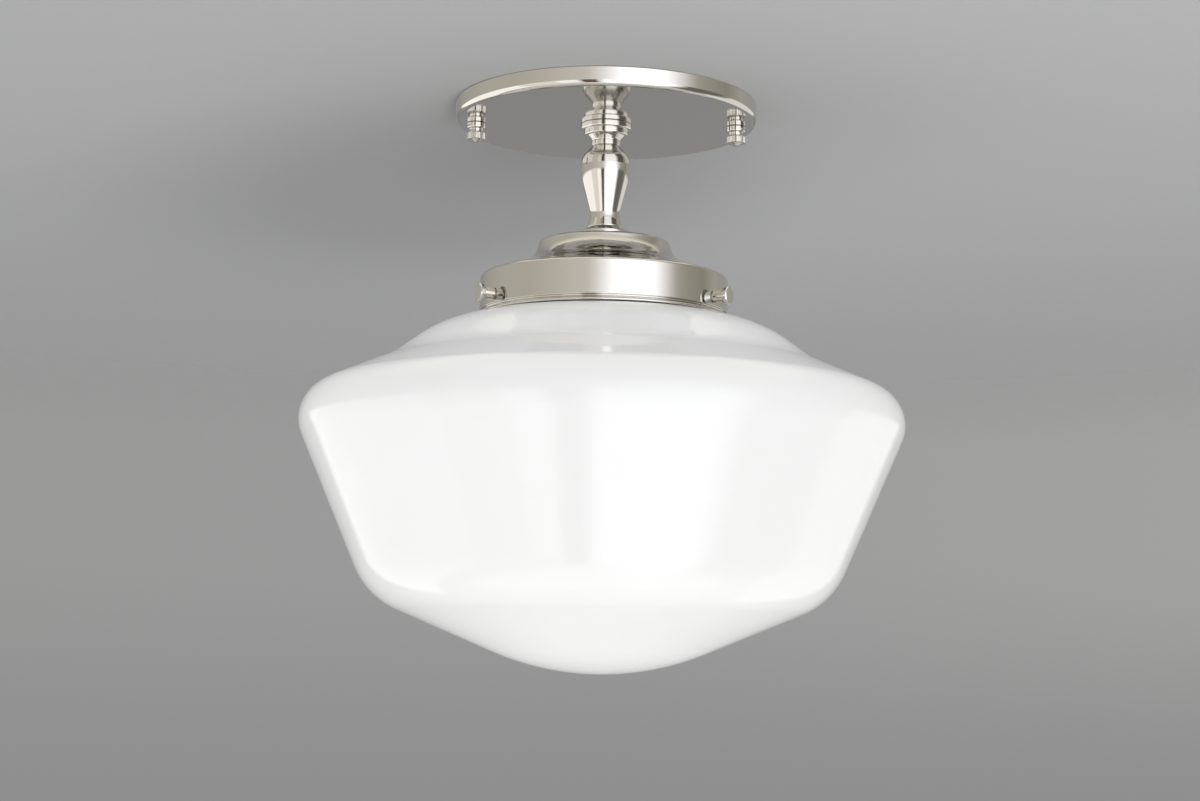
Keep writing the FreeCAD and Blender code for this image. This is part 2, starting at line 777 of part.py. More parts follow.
for name, angle in thumb_angles.items():
    nodes["thumb_screw_" + name] = make_thumb_screw(angle)

os.makedirs("parts", exist_ok=True)
for name, shape in nodes.items():
    shape.exportStep("parts/" + name + ".step")
    box = shape.BoundBox
    print(name, shape.isValid(), len(shape.Solids), round(shape.Volume, 1),
          [round(v, 2) for v in (box.XMin, box.XMax, box.YMin, box.YMax, box.ZMin, box.ZMax)])
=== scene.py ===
import math

import bmesh
import bpy
from mathutils import Matrix, Vector


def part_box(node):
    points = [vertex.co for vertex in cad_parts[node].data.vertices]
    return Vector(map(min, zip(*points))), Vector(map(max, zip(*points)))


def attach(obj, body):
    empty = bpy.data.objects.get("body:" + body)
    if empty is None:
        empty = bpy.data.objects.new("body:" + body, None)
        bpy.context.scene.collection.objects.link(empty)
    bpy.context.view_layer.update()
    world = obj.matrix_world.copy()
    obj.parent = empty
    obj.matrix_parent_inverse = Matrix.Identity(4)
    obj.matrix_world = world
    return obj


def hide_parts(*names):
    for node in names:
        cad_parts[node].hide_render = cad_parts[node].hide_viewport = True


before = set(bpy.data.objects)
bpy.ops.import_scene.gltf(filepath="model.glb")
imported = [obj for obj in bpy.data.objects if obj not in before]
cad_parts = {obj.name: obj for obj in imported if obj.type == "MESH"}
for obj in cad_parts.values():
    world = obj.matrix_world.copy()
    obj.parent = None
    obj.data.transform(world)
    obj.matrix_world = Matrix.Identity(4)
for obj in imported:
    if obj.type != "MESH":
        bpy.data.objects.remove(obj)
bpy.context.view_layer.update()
mm = 0.001


# Crossbar: the strap that carries the light on its junction box, with two box slots and
# tapped holes for the studs. Stamped from sheet steel, deburred and bright zinc plated,
# so it is a cool soft grey, clouded by the plating bath and faintly lined by the rolls.

def linear(colour):
    """Linear RGBA of an sRGB hex colour."""
    parts = [int(colour[i:i + 2], 16) / 255 for i in (1, 3, 5)]
    return [p / 12.92 if p <= 0.04045 else ((p + 0.055) / 1.055) ** 2.4 for p in parts] + [1.0]


def add(tree, kind, inputs=None, **settings):
    """Adds a node with its settings, and its inputs as values, sockets or other nodes.

    Another node stands for its first output."""
    node = tree.nodes.new(kind)
    for name, value in settings.items():
        setattr(node, name, value)
    for name, value in (inputs or {}).items():
        if isinstance(value, bpy.types.Node):
            value = value.outputs[0]
        if isinstance(value, bpy.types.NodeSocket):
            tree.links.new(value, node.inputs[name])
        else:
            node.inputs[name].default_value = value
    return node


def finish(name, values):
    """A material of one shader, with the object's own coordinates in millimetres."""
    material = bpy.data.materials.new(name)
    material.use_nodes = True
    tree = material.node_tree
    tree.nodes.clear()
    shader = add(tree, "ShaderNodeBsdfPrincipled", values)
    add(tree, "ShaderNodeOutputMaterial", {"Surface": shader.outputs["BSDF"]})
    place = add(tree, "ShaderNodeTexCoord")
    scaled = add(tree, "ShaderNodeVectorMath",
                 {0: place.outputs["Object"], "Scale": 1 / mm}, operation="SCALE")
    return material, tree, shader, scaled.outputs["Vector"]


def dress(material, *nodes):
    """Gives CAD nodes their finish."""
    for node in nodes:
        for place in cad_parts[node].material_slots:
            place.material = material


zinc_plate, tree, shader, at = finish("bright zinc plated steel", {"Metallic": 1.0})
cloud_size = 5.0
roll_length = 40.0
roll_line = 0.35
clouds = add(tree, "ShaderNodeTexNoise", {"Vector": at, "Scale": 1 / cloud_size, "Detail": 4.0})
tint = add(tree, "ShaderNodeMix", {0: clouds.outputs["Fac"], 6: linear("#A9AEB4"),
                                   7: linear("#C9CCCE")}, data_type="RGBA")
dull = add(tree, "ShaderNodeMapRange", {"Value": clouds.outputs["Fac"], "From Min": 0.3,
                                        "From Max": 0.7, "To Min": 0.26, "To Max": 0.42})
stretched = add(tree, "ShaderNodeMapping",
                {"Vector": at, "Scale": (1 / roll_length, 1 / roll_line, 1 / roll_line)})
lines = add(tree, "ShaderNodeTexNoise",
            {"Vector": stretched.outputs["Vector"], "Scale": 1.0, "Detail": 2.0})
rolled = add(tree, "ShaderNodeBump", {"Height": lines.outputs["Fac"], "Strength": 0.12,
                                      "Distance": 0.05 * mm})
tree.links.new(tint.outputs[2], shader.inputs["Base Color"])
tree.links.new(dull.outputs["Result"], shader.inputs["Roughness"])
tree.links.new(rolled.outputs["Normal"], shader.inputs["Normal"])
dress(zinc_plate, "crossbar")


# Ground screw: a hexagon washer-head screw driven up into the crossbar, for the bare wire.
# Steel, zinc plated and dyed green, so it is a metallic green that thins on its edges.

green_dye, tree, shader, at = finish("green dyed zinc plate",
                                     {"Metallic": 0.85, "Roughness": 0.34})
dye_patch = 1.2
patches = add(tree, "ShaderNodeTexNoise", {"Vector": at, "Scale": 1 / dye_patch, "Detail": 3.0})
tint = add(tree, "ShaderNodeMix", {0: patches.outputs["Fac"], 6: linear("#1F6B3C"),
                                   7: linear("#4E9A62")}, data_type="RGBA")
tree.links.new(tint.outputs[2], shader.inputs["Base Color"])
dress(green_dye, "ground_screw")


# Studs: two headless screws, tapped into the crossbar and locked under it by hexagon nuts,
# that reach down through the canopy. Rolled M4 thread, bright zinc plated like the strap.

def start_tree(name, sockets, result):
    """A Geometry Nodes tree with its named inputs and its one output."""
    tree = bpy.data.node_groups.new(name, "GeometryNodeTree")
    for label, kind in sockets.items():
        tree.interface.new_socket(label, in_out="INPUT", socket_type="NodeSocket" + kind)
    tree.interface.new_socket(result, in_out="OUTPUT", socket_type="NodeSocketGeometry")
    return tree, add(tree, "NodeGroupInput").outputs


def end_tree(tree, result, made, material):
    """Ends a tree with its instances made real and its finish put on."""
    whole = add(tree, "GeometryNodeRealizeInstances", {"Geometry": made})
    coated = add(tree, "GeometryNodeSetMaterial", {"Geometry": whole, "Material": material})
    add(tree, "NodeGroupOutput", {result: coated})
    return tree


def about_the_axis(tree):
    """Each point's coordinates, its angle round Z and its distance from Z."""
    place = add(tree, "GeometryNodeInputPosition")
    axes = add(tree, "ShaderNodeSeparateXYZ", {"Vector": place}).outputs
    angle = add(tree, "ShaderNodeMath", {0: axes["Y"], 1: axes["X"]}, operation="ARCTAN2")
    x_square = add(tree, "ShaderNodeMath", {0: axes["X"], 1: axes["X"]}, operation="MULTIPLY")
    y_square = add(tree, "ShaderNodeMath", {0: axes["Y"], 1: axes["Y"]}, operation="MULTIPLY")
    square = add(tree, "ShaderNodeMath", {0: x_square, 1: y_square}, operation="ADD")
    around = add(tree, "ShaderNodeMath", {0: square}, operation="SQRT")
    return axes, angle, around


def drawn_in(tree, axes, share):
    """Each point's place once its distance from Z is cut to a share."""
    x = add(tree, "ShaderNodeMath", {0: axes["X"], 1: share}, operation="MULTIPLY")
    y = add(tree, "ShaderNodeMath", {0: axes["Y"], 1: share}, operation="MULTIPLY")
    return add(tree, "ShaderNodeCombineXYZ", {"X": x, "Y": y, "Z": axes["Z"]})


merge_within = 0.002
tree, given = start_tree("turned piece", {"Outline": "Geometry", "Segments": "Int",
                                          "Core Radius": "Float", "Finish": "Material"}, "Piece")
chain = add(tree, "GeometryNodeMeshToCurve", {"Mesh": given["Outline"]})
radius = add(tree, "GeometryNodeInputNamedAttribute", {"Name": "round"}, data_type="FLOAT")
steps = add(tree, "GeometryNodeInputNamedAttribute", {"Name": "steps"}, data_type="INT")
eased = add(tree, "GeometryNodeFilletCurve",
            {"Curve": chain, "Count": steps.outputs["Attribute"],
             "Radius": radius.outputs["Attribute"]}, mode="POLY")
circle = add(tree, "GeometryNodeCurvePrimitiveCircle",
             {"Resolution": given["Segments"], "Radius": given["Core Radius"]}, mode="RADIUS")
swept = add(tree, "GeometryNodeCurveToMesh", {"Curve": circle, "Profile Curve": eased})
joined = add(tree, "GeometryNodeMergeByDistance",
             {"Geometry": swept, "Distance": merge_within * mm})
turned_tree = end_tree(tree, "Piece", joined, given["Finish"])

tree, given = start_tree("screw thread",
                         {"Rod": "Geometry", "Pitch": "Float", "Depth": "Float", "Low": "Float",
                          "High": "Float", "Least Radius": "Float", "Roundness": "Float",
                          "Finish": "Material"}, "Screw")
axes, angle, around = about_the_axis(tree)
turns = add(tree, "ShaderNodeMath", {0: angle, 1: math.tau}, operation="DIVIDE")
climb = add(tree, "ShaderNodeMath", {0: axes["Z"], 1: given["Pitch"]}, operation="DIVIDE")
phase = add(tree, "ShaderNodeMath", {0: climb, 1: turns}, operation="SUBTRACT")
saw = add(tree, "ShaderNodeMath", {0: phase, 1: 0.5}, operation="PINGPONG")
sharp_wave = add(tree, "ShaderNodeMath", {0: saw, 1: 2.0}, operation="MULTIPLY")
phase_angle = add(tree, "ShaderNodeMath", {0: phase, 1: math.tau}, operation="MULTIPLY")
swing = add(tree, "ShaderNodeMath", {0: phase_angle}, operation="COSINE")
soft_wave = add(tree, "ShaderNodeMath", {0: swing, 1: -0.5, 2: 0.5}, operation="MULTIPLY_ADD")
wave = add(tree, "ShaderNodeMix", {0: given["Roundness"], 2: sharp_wave, 3: soft_wave},
           data_type="FLOAT")
from_low = add(tree, "ShaderNodeMath", {0: axes["Z"], 1: given["Low"]}, operation="SUBTRACT")
from_high = add(tree, "ShaderNodeMath", {0: given["High"], 1: axes["Z"]}, operation="SUBTRACT")
inside = add(tree, "ShaderNodeMath", {0: from_low, 1: from_high}, operation="MINIMUM")
runout = add(tree, "ShaderNodeMath", {0: inside, 1: given["Pitch"]}, operation="DIVIDE",
             use_clamp=True)
faded = add(tree, "ShaderNodeMath", {0: wave, 1: runout}, operation="MULTIPLY")
cut = add(tree, "ShaderNodeMath", {0: faded, 1: given["Depth"]}, operation="MULTIPLY")
left = add(tree, "ShaderNodeMath", {0: around, 1: cut}, operation="SUBTRACT")
share = add(tree, "ShaderNodeMath", {0: left, 1: around}, operation="DIVIDE")
outer = add(tree, "FunctionNodeCompare", {"A": around, "B": given["Least Radius"]},
            data_type="FLOAT", operation="GREATER_THAN")
threaded = add(tree, "GeometryNodeSetPosition",
               {"Geometry": given["Rod"], "Selection": outer,
                "Position": drawn_in(tree, axes, share)})
thread_tree = end_tree(tree, "Screw", threaded, given["Finish"])


def shape_by(piece, tree, values):
    """Adds a Geometry Nodes modifier and sets the tree's named inputs."""
    modifier = piece.modifiers.new(tree.name, "NODES")
    modifier.node_group = tree
    for item in tree.interface.items_tree:
        if item.in_out == "INPUT" and item.name in values:
            modifier[item.identifier] = values[item.name]


def settle(piece):
    """Turns a piece's modifiers into plain mesh and takes them off."""
    bpy.context.view_layer.update()
    made = piece.evaluated_get(bpy.context.evaluated_depsgraph_get())
    mesh = bpy.data.meshes.new_from_object(made)
    mesh.name = piece.name
    piece.modifiers.clear()
    piece.data = mesh


def corner_reach(before, corner, after, radius):
    """Distance from a corner to where its round starts, and the angle turned there."""
    turn = (corner - before).angle(after - corner)
    return radius * math.tan(turn / 2), turn


def turn(name, corners, material, segments=192, rules=(), drill=None):
    """A turned piece from corners (r, z, round) in mm, its rounds cut back where they meet.

    An outline that starts on the centre line is a chain, and any other is a ring. The
    rules are trees that work on the piece, and the drill is cut out of it."""
    step_angle = math.radians(3)
    core = 10.0
    sharp_angle = math.radians(28)
    points = [Vector((r, z)) for r, z, radius in corners]
    count = len(points)
    ring = corners[0][0] > 0
    reaches = []
    for i, point in enumerate(points):
        radius = corners[i][2]
        if radius and (ring or 0 < i < count - 1):
            after = points[(i + 1) % count]
            reaches.append(corner_reach(points[i - 1], point, after, radius))
        else:
            reaches.append((0.0, 0.0))
    limits = [1.0] * count
    edges = [(i, (i + 1) % count) for i in range(count if ring else count - 1)]
    for i, j in edges:
        asked = reaches[i][0] + reaches[j][0]
        length = (points[j] - points[i]).length
        if asked > length:
            limits[i] = min(limits[i], length / asked)
            limits[j] = min(limits[j], length / asked)
    mesh = bpy.data.meshes.new(name)
    mesh.from_pydata([((p.x - core) * mm, -p.y * mm, 0) for p in points], edges, [])
    rounds = mesh.attributes.new("round", "FLOAT", "POINT")
    rounds.data.foreach_set("value", [c[2] * mm * limit for c, limit in zip(corners, limits)])
    counts = mesh.attributes.new("steps", "INT", "POINT")
    counts.data.foreach_set("value", [max(2, math.ceil(r[1] / step_angle)) for r in reaches])
    piece = bpy.data.objects.new(name, mesh)
    bpy.context.scene.collection.objects.link(piece)
    shape_by(piece, turned_tree,
             {"Segments": segments, "Core Radius": core * mm, "Finish": material})
    for tree, values in rules:
        shape_by(piece, tree, dict(values, Finish=material))
    if drill:
        bored = piece.modifiers.new("drill", "BOOLEAN")
        bored.object = drill
        bored.solver = "EXACT"
    settle(piece)
    if drill:
        bpy.data.objects.remove(drill)
    shell = bmesh.new()
    shell.from_mesh(piece.data)
    bmesh.ops.recalc_face_normals(shell, faces=shell.faces)
    for face in shell.faces:
        face.smooth = True
    shell.to_mesh(piece.data)
    shell.free()
    for extra in ("round", "steps"):
        if extra in piece.data.attributes:
            piece.data.attributes.remove(piece.data.attributes[extra])
    piece.data.set_sharp_from_angle(angle=sharp_angle)
    even = piece.modifiers.new("even shading", "WEIGHTED_NORMAL")
    even.keep_sharp = True
    settle(piece)
    return piece


def thread_rows(r, start, end, pitch):
    """Corners along a threaded side, enough to each turn to show its flanks."""
    rows_per_turn = 8
    count = round(abs(end - start) / pitch * rows_per_turn)
    return [(r, start + (end - start) * i / count, 0.0) for i in range(count + 1)]


def cut_thread(pitch, depth, low, high, core_r, roundness):
    """The rule for a screw thread between two heights, in mm. The core stays uncut."""
    return thread_tree, {"Pitch": pitch * mm, "Depth": depth * mm, "Low": low * mm,
                         "High": high * mm, "Least Radius": core_r * mm,
                         "Roundness": roundness}


def span(node):
    """A node's lowest and highest corner, in mm."""
    return [Vector([value / mm for value in corner]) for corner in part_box(node)]


dress(zinc_plate, "stud_lock_nut_left", "stud_lock_nut_right")
stud_r = 2.05
stud_pitch = 0.7
stud_thread_depth = 0.38
stud_core_r = stud_r * 0.9
stud_bevel = 0.5
vee_roundness = 0.3
for side in ("left", "right"):
    low, high = span("canopy_stud_" + side)
    stud_x = (low.x + high.x) / 2
    side_rows = thread_rows(stud_r, low.z + stud_bevel, high.z, stud_pitch)
    stud = turn("stud_" + side + "_threaded",
                [(0, low.z, 0), (stud_r - stud_bevel, low.z, 0)] + side_rows + [(0, high.z, 0)],
                zinc_plate, segments=40,
                rules=[cut_thread(stud_pitch, stud_thread_depth, low.z, high.z + stud_pitch,
                                  stud_core_r, vee_roundness)])
    stud.data.transform(Matrix.Translation((stud_x * mm, 0, 0)))
    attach(stud, "fixture")
    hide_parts("canopy_stud_" + side)


# Canopy: the shallow round pan that covers the box. Spun from brass sheet over a form,
# polished and nickel plated, with a rounded edge, a centre hole and two stud holes. It is
# a warm mirror, with the spinning's faint rings and a fine speckle of dust in the polish.

def polished_nickel(name, ring_pitch):
    """Nickel plate over polished brass, with faint rings about the centre line."""
    speck_size = 0.45
    peel_size = 7.0
    material, tree, shader, at = finish(name, {"Metallic": 1.0})
    specks = add(tree, "ShaderNodeTexNoise",
                 {"Vector": at, "Scale": 1 / speck_size, "Detail": 2.0})
    dust = add(tree, "ShaderNodeMapRange", {"Value": specks.outputs["Fac"], "From Min": 0.45,
                                            "From Max": 0.8, "To Min": 0.05, "To Max": 0.16})
    tint = add(tree, "ShaderNodeMix", {0: specks.outputs["Fac"], 6: linear("#D0CECA"),
                                       7: linear("#C8C6C1")}, data_type="RGBA")
    peel = add(tree, "ShaderNodeTexNoise",
               {"Vector": at, "Scale": 1 / peel_size, "Detail": 1.0})
    flat = add(tree, "ShaderNodeVectorMath", {0: at, 1: (1, 1, 0)}, operation="MULTIPLY")
    radius = add(tree, "ShaderNodeVectorMath", {0: flat.outputs["Vector"]}, operation="LENGTH")
    height = add(tree, "ShaderNodeSeparateXYZ", {"Vector": at})
    along = add(tree, "ShaderNodeMath", {0: radius.outputs["Value"], 1: height.outputs["Z"]},
                operation="ADD")
    rings = add(tree, "ShaderNodeTexNoise",
                {"W": along, "Scale": 1 / ring_pitch, "Detail": 2.0}, noise_dimensions="1D")
    wavy = add(tree, "ShaderNodeBump", {"Height": peel.outputs["Fac"], "Strength": 0.1,
                                        "Distance": 0.1 * mm})
    ringed = add(tree, "ShaderNodeBump", {"Height": rings.outputs["Fac"], "Strength": 0.05,
                                          "Distance": 0.02 * mm,
                                          "Normal": wavy.outputs["Normal"]})
    tree.links.new(tint.outputs[2], shader.inputs["Base Color"])
    tree.links.new(dust.outputs["Result"], shader.inputs["Roughness"])
    tree.links.new(ringed.outputs["Normal"], shader.inputs["Normal"])
    return material


def drills(radius, starts, ways, length):
    """Cylinders in mm from their starts along their ways, as one cutter.

    Each is turned by half a side, so that no edge of it lies on a turned piece's rows."""
    sides = 48
    off_the_rows = Matrix.Rotation(math.pi / sides, 4, "Z")
    shape = bmesh.new()
    for start, way in zip(starts, ways):
        turned_to = Vector(way).to_track_quat("Z", "Y").to_matrix().to_4x4() @ off_the_rows
        middle = Vector(start) + Vector(way) * length / 2
        bmesh.ops.create_cone(shape, cap_ends=True, segments=sides, radius1=radius * mm,
                              radius2=radius * mm, depth=length * mm,
                              matrix=Matrix.Translation(middle * mm) @ turned_to)
    mesh = bpy.data.meshes.new("drills")
    shape.to_mesh(mesh)
    shape.free()
    cutter = bpy.data.objects.new("drills", mesh)
    bpy.context.scene.collection.objects.link(cutter)
    cutter.hide_render = True
    return cutter


spun_nickel = polished_nickel("polished nickel on spun brass", ring_pitch=0.8)
sheet = 1.0
stem_bore_r = 5.1
canopy_low, canopy_high = span("canopy")
canopy_r = canopy_high.x
canopy_under = canopy_low.z
canopy_floor = canopy_under + sheet
canopy_edge_round = 2.4
stud_hole_r = 2.4
cut_edge = 0.15
drill_margin = 1.0
drill_start = canopy_under - drill_margin
canopy = turn("canopy_spun",
              [(canopy_r, 0, cut_edge), (canopy_r, canopy_under, canopy_edge_round),
               (stem_bore_r, canopy_under, cut_edge), (stem_bore_r, canopy_floor, cut_edge),
               (canopy_r - sheet, canopy_floor, canopy_edge_round - sheet),
               (canopy_r - sheet, 0, cut_edge)],
              spun_nickel, segments=320,
              drill=drills(stud_hole_r, [(-stud_x, 0, drill_start), (stud_x, 0, drill_start)],
                           [(0, 0, 1), (0, 0, 1)], sheet + 2 * drill_margin))
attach(canopy, "fixture")
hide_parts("canopy")


# Pipe: the hollow M10 x 1 pipe through the whole stem, the wires' way, with a split washer
# and a thin nut on the canopy's floor. Threaded its whole length and bright zinc plated.

dress(zinc_plate, "pipe_lock_washer", "pipe_top_nut")
pipe_low, pipe_high = span("stem_pipe")
pipe_r = pipe_high.x
pipe_bore_r = 3.4
pipe_pitch = 1.0
pipe_thread_depth = 0.5
pipe_core_r = pipe_r * 0.97
pipe_bevel = 0.4
pipe = turn("pipe_threaded",
            thread_rows(pipe_r, pipe_high.z - pipe_bevel, pipe_low.z + pipe_bevel, pipe_pitch)
            + [(pipe_r - pipe_bevel, pipe_low.z, 0), (pipe_bore_r, pipe_low.z, 0),
               (pipe_bore_r, pipe_high.z, 0), (pipe_r - pipe_bevel, pipe_high.z, 0)],
            zinc_plate, segments=56,
            rules=[cut_thread(pipe_pitch, pipe_thread_depth, pipe_low.z - pipe_pitch,
                              pipe_high.z + pipe_pitch, pipe_core_r, vee_roundness)])
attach(pipe, "fixture")
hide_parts("stem_pipe")


# Stem: collar, vase and base, threaded on the pipe like beads between canopy and holder.
# Each is turned from brass bar, polished and nickel plated, with finer rings than the pan.

turned_nickel = polished_nickel("polished nickel on turned brass", ring_pitch=0.3)
collar_low, collar_high = span("stem_collar")
collar_r = 10.8
collar_disc = 2.6
collar_top_edge = 0.4
collar_top_round = 0.9
collar_step_r = 9.3
collar_step = 2.3
collar_step_round = 0.7
collar_inner_round = 0.15
collar_cone_r = 8.1
neck_r = 6.1
neck_height = 0.3
neck_round = 2.0
step_top = collar_high.z - collar_disc
cone_top = step_top - collar_step
neck_top = collar_low.z + neck_height
collar = turn("stem_collar_turned",
              [(stem_bore_r, collar_high.z, 0), (collar_r, collar_high.z, collar_top_edge),
               (collar_r, step_top, collar_top_round),
               (collar_step_r, step_top, collar_inner_round),
               (collar_step_r, cone_top, collar_step_round),
               (collar_cone_r, cone_top, collar_inner_round),
               (neck_r, neck_top, neck_round), (neck_r, collar_low.z, 0),
               (stem_bore_r, collar_low.z, 0)], turned_nickel)

vase_top = span("stem_vase")[1].z
base_low, base_high = span("stem_base")
seam_drop = 1.8                 # the vase's foot ends this far under the base's box top
seam = base_high.z - seam_drop
ring_height = 1.9
ring_round = 0.25
ring_groove_height = 0.4
ring_groove_depth = 0.4
shoulder_r = 10.1
shoulder_drop = 6.9
shoulder_round = 9.6
belly_r = 11.0
belly_drop = 13.5
belly_round = 33.0
ankle_r = 5.95
ankle_drop = 31.9
ankle_round = 8.0
foot_r = 7.8
foot_edge = 0.6
ring_low = vase_top - ring_height
vase = turn("stem_vase_turned",
            [(stem_bore_r, vase_top, 0), (neck_r, vase_top, ring_round),
             (neck_r, ring_low, ring_round),
             (neck_r - ring_groove_depth, ring_low - ring_groove_height / 2, 0),
             (neck_r, ring_low - ring_groove_height, 0),
             (shoulder_r, vase_top - shoulder_drop, shoulder_round),
             (belly_r, vase_top - belly_drop, belly_round),
             (ankle_r, vase_top - ankle_drop, ankle_round),
             (foot_r, seam, foot_edge), (stem_bore_r, seam, 0)], turned_nickel)

base_reach = 0.4
base_top_edge = 0.5
bead_r = 11.3
bead_drop = 1.7
bead_height = 2.3
bead_round = 0.9
plinth_step = 0.4
base_edge = 0.4
base_r = base_high.x
bead_top = seam - bead_drop
bead_low = bead_top - bead_height
plinth_top = bead_low - plinth_step
base = turn("stem_base_turned",
            [(stem_bore_r, seam, 0), (foot_r + base_reach, seam, base_top_edge),
             (bead_r, bead_top, bead_round), (bead_r, bead_low, base_edge),
             (base_r, plinth_top, base_edge), (base_r, base_low.z, base_edge),
             (stem_bore_r, base_low.z, 0)], turned_nickel)
for piece, node in ((collar, "stem_collar"), (vase, "stem_vase"), (base, "stem_base")):
    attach(piece, "fixture")
    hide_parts(node)


# Globe holder: the cap, cove, straight band and grooved lip that carry the glass. Spun in
# one from brass sheet, drilled and tapped for three thumb screws, polished and plated.

def inner_side(path, wall):
    """A path of corners moved to its right by a wall, with its rounds kept concentric."""
    ways = [Vector((b[0] - a[0], b[1] - a[1])).normalized() for a, b in zip(path, path[1:])]
    rights = [Vector((way.y, -way.x)) for way in ways]
    moved = []
    for i, (r, z, radius) in enumerate(path):
        before = rights[max(i - 1, 0)]
        after = rights[min(i, len(rights) - 1)]
        shift = (before + after) * wall / (1 + before.dot(after))
        left_turn = 0 < i < len(ways) and ways[i - 1].cross(ways[i]) > 0
        inner_round = radius + wall if left_turn else max(radius - wall, 0)
        moved.append((r + shift.x, z + shift.y, inner_round if radius else 0))
    return moved


holder_low, holder_high = span("globe_holder")
cap_top = holder_high.z
holder_foot = holder_low.z
cap_r = 27.5
cap_edge = 1.6
cove_r = 28.9
cove_drop = 8.3
cove_round = 12.0
band_r = 51.8
band_top_drop = 15.7
band_edge = 1.5
band_height = 14.7
groove_height = 0.8
groove_depth = 0.6
groove_slope = 0.3
groove_round = 0.3
flare_round = 0.4
lip_r = holder_high.x
lip_edge_height = 0.9
lip_round = 0.45
screw_drop = 26.7
screw_z = cap_top - screw_drop
screw_hole_r = 2.1
screw_angles = {"left": 210, "right": 330, "back": 90}
band_top = cap_top - band_top_drop
band_low = band_top - band_height
groove_top = band_low - groove_slope
groove_low = band_low - groove_height
groove_floor_r = band_r - groove_depth
path = [(stem_bore_r, cap_top, 0), (cap_r, cap_top, cap_edge),
        (cove_r, cap_top - cove_drop, cove_round), (band_r, band_top, band_edge),
        (band_r, holder_foot, 0)]
lip = [(band_r, band_low, groove_round), (groove_floor_r, groove_top, groove_round),
       (groove_floor_r, groove_low, flare_round),
       (lip_r, holder_foot + lip_edge_height, lip_round), (lip_r, holder_foot, lip_round)]
outward = [(math.cos(math.radians(a)), math.sin(math.radians(a)), 0)
           for a in screw_angles.values()]
inside_r = band_r - 2 * sheet
holder = turn("globe_holder_spun", path[:-1] + lip + inner_side(path, sheet)[::-1], spun_nickel,
              segments=320,
              drill=drills(screw_hole_r, [(x * inside_r, y * inside_r, screw_z)
                                          for x, y, z in outward], outward, 4 * sheet))
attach(holder, "fixture")
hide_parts("globe_holder")
dress(zinc_plate, "holder_washer", "holder_nut")


# Socket: a glazed porcelain body on an oval steel strap, which screws on the pipe's end.
# Pressed and fired clay under a clear glaze, so it is a warm glossy white with soft ripples.

dress(zinc_plate, "socket_bracket", "bracket_screws")
porcelain, tree, shader, at = finish("glazed porcelain", {"Roughness": 0.12, "IOR": 1.5,
                                                          "Coat Weight": 0.3})
ripple_size = 3.0
iron_speck = 0.9
ripples = add(tree, "ShaderNodeTexNoise", {"Vector": at, "Scale": 1 / ripple_size})
specks = add(tree, "ShaderNodeTexNoise", {"Vector": at, "Scale": 1 / iron_speck, "Detail": 3.0})
faint = add(tree, "ShaderNodeMapRange", {"Value": specks.outputs["Fac"], "From Min": 0.62,
                                         "From Max": 0.74})
tint = add(tree, "ShaderNodeMix", {0: faint.outputs["Result"], 6: linear("#F0EDE4"),
                                   7: linear("#DAD3C4")}, data_type="RGBA")
glaze = add(tree, "ShaderNodeBump", {"Height": ripples.outputs["Fac"], "Strength": 0.15,
                                     "Distance": 0.1 * mm})
tree.links.new(tint.outputs[2], shader.inputs["Base Color"])
tree.links.new(glaze.outputs["Normal"], shader.inputs["Normal"])
dress(porcelain, "socket_body")


# Contacts: the socket's terminal screws, its rolled screw shell and the spring strip that
# the lamp's tip presses on. Bare brass, stamped or rolled, gold with a slight brown bloom.

brass, tree, shader, at = finish("bare stamped brass", {"Metallic": 1.0})
bloom_size = 2.5
bloom = add(tree, "ShaderNodeTexNoise", {"Vector": at, "Scale": 1 / bloom_size, "Detail": 4.0})
tint = add(tree, "ShaderNodeMix", {0: bloom.outputs["Fac"], 6: linear("#D3B26B"),
                                   7: linear("#B08D4A")}, data_type="RGBA")
dull = add(tree, "ShaderNodeMapRange", {"Value": bloom.outputs["Fac"], "To Min": 0.2,
                                        "To Max": 0.4})
tree.links.new(tint.outputs[2], shader.inputs["Base Color"])
tree.links.new(dull.outputs["Result"], shader.inputs["Roughness"])
dress(brass, "terminal_screws", "centre_contact")

lamp_pitch = 3.63
shell_low, shell_high = span("screw_shell")
shell_r = shell_high.x
shell_rim_r = 9.5
shell_core_r = shell_rim_r * 1.2
shell_edge = 0.6
shell_wall = 0.5
shell_thread_depth = 0.2
rolled_roundness = 1.0
shell_thread_top = shell_high.z - 1
path = [(shell_rim_r, shell_high.z, 0), (shell_r, shell_high.z, shell_edge)] \
    + thread_rows(shell_r, shell_thread_top, shell_low.z, lamp_pitch)
shell = turn("screw_shell_rolled", path + inner_side(path, shell_wall)[::-1], brass,
             segments=96,
             rules=[cut_thread(lamp_pitch, shell_thread_depth, shell_low.z, shell_thread_top,
                               shell_core_r, rolled_roundness)])
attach(shell, "fixture")
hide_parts("screw_shell")


# Canopy nuts: two knurled nuts on the studs, each a seat ring, a neck, a knurled disc and a
# short point. Turned from brass bar, knurled, polished and nickel plated.

